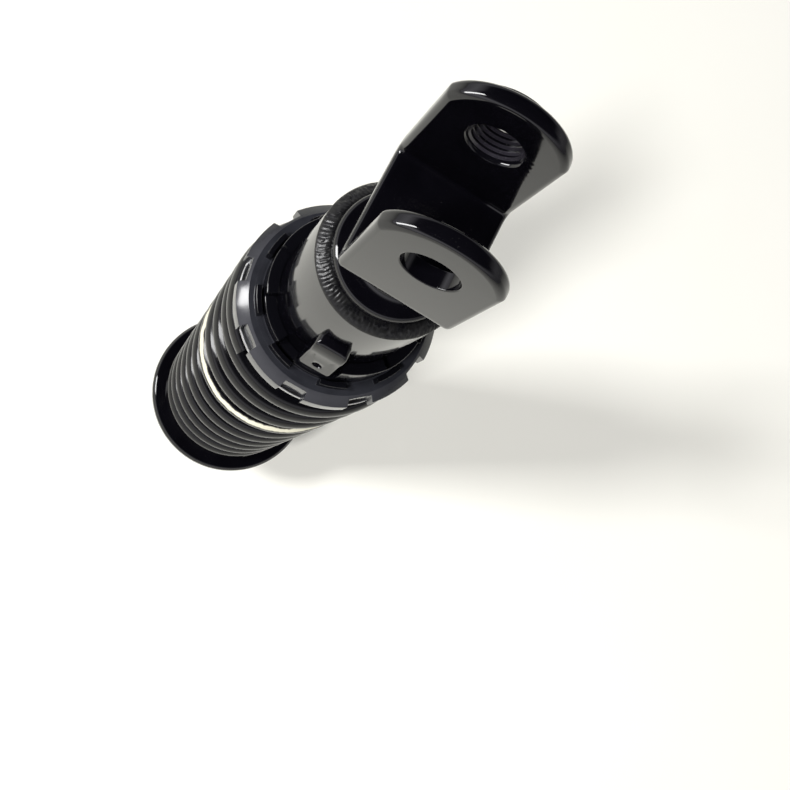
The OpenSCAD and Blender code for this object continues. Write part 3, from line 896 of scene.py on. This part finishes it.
def neck_foot(a):
    """Height at which the neck leaves the eye ring at an angle round the neck."""
    return EYE_Z + math.sqrt(max(0.0, 16.4 ** 2 - (NECK_R * math.cos(a)) ** 2))


def neck_outline(a):
    foot = neck_foot(a)
    return fillet([
        (6.02, NECK_TOP, 0.3), (6.02, EYE_Z + 14.4, 0), (NECK_R - 1, EYE_Z + 13.2, 0),
        (NECK_R + 1.6, foot - 0.5, 0), (NECK_R, foot + 1.9, 1.4), (NECK_R, NECK_TOP, 0.8)], 5)


place(columns("eye_neck", [2 * math.pi * k / 160 for k in range(160)], neck_outline, PAINT, 45),
      "rod", "gloss_black_paint")

nut_lo, nut_hi = cad("rod_lock_nut")
NUT_FLAT = 11.5 * math.cos(30 * DEG)


def nut_outline(a):
    """Hexagon with the corners turned down to a cone at both faces."""
    hexagon = NUT_FLAT / math.cos((a + 30 * DEG) % (60 * DEG) - 30 * DEG)
    lo, hi = nut_lo.z, nut_hi.z
    drop = max(0.05, (hexagon - 9.9) * 0.55)
    end = min(hexagon, 9.95)
    return [(6.02, hi - 0.5), (6.02, lo + 0.5), (6.5, lo), (9.0, lo), (end - 0.1, lo + 0.02),
            (end, lo + 0.07), (hexagon - 0.06, lo + drop), (hexagon, lo + drop + 0.12),
            (hexagon, (lo + hi) / 2), (hexagon, hi - drop - 0.12), (hexagon - 0.06, hi - drop),
            (end, hi - 0.07), (end - 0.1, hi - 0.02), (9.0, hi), (6.5, hi)]


place(columns("jam_nut", [2 * math.pi * k / 240 for k in range(240)], nut_outline, STEEL, 30),
      "rod", "plated_steel", "rod_lock_nut")

hold_top, hold_low = seat_top - 1.3, seat_top - 7.0
hold_outline = fillet([
    (6.05, hold_low, 0.3), (15.0, hold_low, 1.0), (15.0, hold_low + 3.9, 0.4),
    (9.9, hold_low + 3.9, 0.3), (9.9, hold_top, 0.4), (6.05, hold_top, 0.3)], 5)
for name, start in (("collet_half_1", 2.0), ("collet_half_2", 182.0)):
    half_ring = lathe(name, hold_outline, STEEL, 90, start=start, sweep=176.0)
    place(half_ring, "rod", "plated_steel", "seat_retainer")

# ---------------------------------------------------------------- floor, light and camera

FLOOR_Z = EYE_LO.z - 0.4


def stage_material():
    """Pale paper; seen in reflections it is painted a little darker, as painted shade for the floor near the
    body.
    """
    m = Nodes("stage_paper")
    v = m.coords()
    cloud = m.noise(v, 6, 4, 0.55)
    grain = m.noise(v, 900, 3, 0.6)
    colour = m.mix(m.remap(cloud, 0.3, 0.7, 0, 1), rgba(0.885, 0.88, 0.84), rgba(0.9, 0.895, 0.86))
    # Painted shade: glossy rays see a darker paper colour than the camera does.
    path = m.add("ShaderNodeLightPath")
    colour = m.mix(path.outputs["Is Glossy Ray"], colour, rgba(0.81, 0.81, 0.77))
    m.set(Base_Color=colour, Roughness=0.75, Specular_IOR_Level=0.2)
    m.set(Normal=m.bump(grain, 0.06, 0.0005).outputs[0])
    return m.mat


FLOOR_HALF = 4000.0
corners = [(x * FLOOR_HALF, y * FLOOR_HALF, FLOOR_Z) for x, y in ((-1, -1), (1, -1), (1, 1), (-1, 1))]
new_object("stage_floor", corners, [(0, 1, 2, 3)], stage_material())


def area(name, location, target, size, size_y, power, colour=(1, 1, 1)):
    """Rectangular light; places are in metres from the clevis pivot."""
    data = bpy.data.lights.new(name, "AREA")
    data.shape = "RECTANGLE"
    data.size, data.size_y = size, size_y
    data.energy = power
    data.color = colour
    ob = bpy.data.objects.new(name, data)
    bpy.context.scene.collection.objects.link(ob)
    ob.location = Vector(location) + LIFT * MM
    ob.rotation_euler = (Vector(target) - Vector(location)).to_track_quat("-Z", "Y").to_euler()
    return ob


KEY_AT, SECOND_AT, WINDOW_AT = (-0.86, -1.44, 2.15), (-1.71, -0.8, 2.0), (-1.0, -0.25, 0.3)
BODY_MIDDLE = (0.05, 0.05, -0.3)
SPRING_TOP = (0, 0, -0.15)

# Two lights give the soft crossing shadows, a small lamp and a tall window give the glints on the paint.
key = area("key", KEY_AT, BODY_MIDDLE, 0.36, 0.36, 61, (1.0, 0.985, 0.95))
second = area("second", SECOND_AT, BODY_MIDDLE, 0.36, 0.36, 59, (1.0, 0.99, 0.96))
key.visible_glossy = second.visible_glossy = False
area("lamp", KEY_AT, BODY_MIDDLE, 0.3, 0.3, 3)
window = area("window", WINDOW_AT, SPRING_TOP, 0.26, 0.6, 11)
window.visible_diffuse = False

# Brightness seen in reflections, from the horizon (0) up to the zenith (1).
GLOW = ((0.0, 0.9), (0.2, 1.5), (0.33, 0.9), (0.45, 0.07), (0.6, 0.008), (1.0, 0.006))
GLOW_SIDE = (-0.75, -0.6, 0.0)
GLOW_FADE = (("From Min", -0.6), ("From Max", 0.9), ("To Min", 0.25), ("To Max", 1.0))
AMBIENT = 0.24


def studio_world():
    """Plain pale surroundings; in reflections a bright band at the horizon under a dark ceiling."""
    world = bpy.data.worlds.new("studio")
    world.use_nodes = True
    tree = world.node_tree
    tree.nodes.clear()
    coord = tree.nodes.new("ShaderNodeTexCoord")
    split = tree.nodes.new("ShaderNodeSeparateXYZ")
    tree.links.new(coord.outputs["Generated"], split.inputs[0])
    ramp = tree.nodes.new("ShaderNodeValToRGB")
    for k, (at, level) in enumerate(GLOW):
        stop = ramp.color_ramp.elements[k] if k < 2 else ramp.color_ramp.elements.new(at)
        stop.position = at
        stop.color = (level, level * 0.985, level * 1.04, 1)
    tree.links.new(split.outputs["Z"], ramp.inputs["Fac"])
    gloss = tree.nodes.new("ShaderNodeBackground")
    tree.links.new(ramp.outputs["Color"], gloss.inputs["Color"])
    toward = tree.nodes.new("ShaderNodeVectorMath")
    toward.operation = "DOT_PRODUCT"
    toward.inputs[1].default_value = GLOW_SIDE
    tree.links.new(coord.outputs["Generated"], toward.inputs[0])
    fade = tree.nodes.new("ShaderNodeMapRange")
    for socket, value in GLOW_FADE:
        fade.inputs[socket].default_value = value
    tree.links.new(toward.outputs["Value"], fade.inputs["Value"])
    tree.links.new(fade.outputs["Result"], gloss.inputs["Strength"])
    plain = tree.nodes.new("ShaderNodeBackground")
    plain.inputs["Color"].default_value = (0.95, 0.95, 0.94, 1)
    plain.inputs["Strength"].default_value = AMBIENT
    path = tree.nodes.new("ShaderNodeLightPath")
    mixer = tree.nodes.new("ShaderNodeMixShader")
    out = tree.nodes.new("ShaderNodeOutputWorld")
    tree.links.new(path.outputs["Is Glossy Ray"], mixer.inputs[0])
    tree.links.new(plain.outputs[0], mixer.inputs[1])
    tree.links.new(gloss.outputs[0], mixer.inputs[2])
    tree.links.new(mixer.outputs[0], out.inputs["Surface"])
    return world


CAM_AT = (-34.44, -88.5, 179.75)
CAM_RIGHT = Vector((0.8472, 0.4372, 0.3017))
CAM_DOWN = Vector((0.4902, -0.8623, -0.1269))
CAM_LENS = 48.56


def close_camera():
    """Camera near the clevis, looking down along the damper."""
    data = bpy.data.cameras.new("camera")
    data.lens = CAM_LENS
    data.sensor_width = 36
    data.clip_start = 0.01
    camera = bpy.data.objects.new("camera", data)
    bpy.context.scene.collection.objects.link(camera)
    right = CAM_RIGHT.normalized()
    up = (-CAM_DOWN - right * (-CAM_DOWN).dot(right)).normalized()
    back = right.cross(up)
    turn = Matrix((right, up, back)).transposed().to_4x4()
    camera.matrix_world = Matrix.Translation((Vector(CAM_AT) + LIFT) * MM) @ turn
    return camera


bpy.context.scene.world = studio_world()
bpy.context.scene.camera = close_camera()
bpy.context.scene.view_settings.view_transform = "Standard"
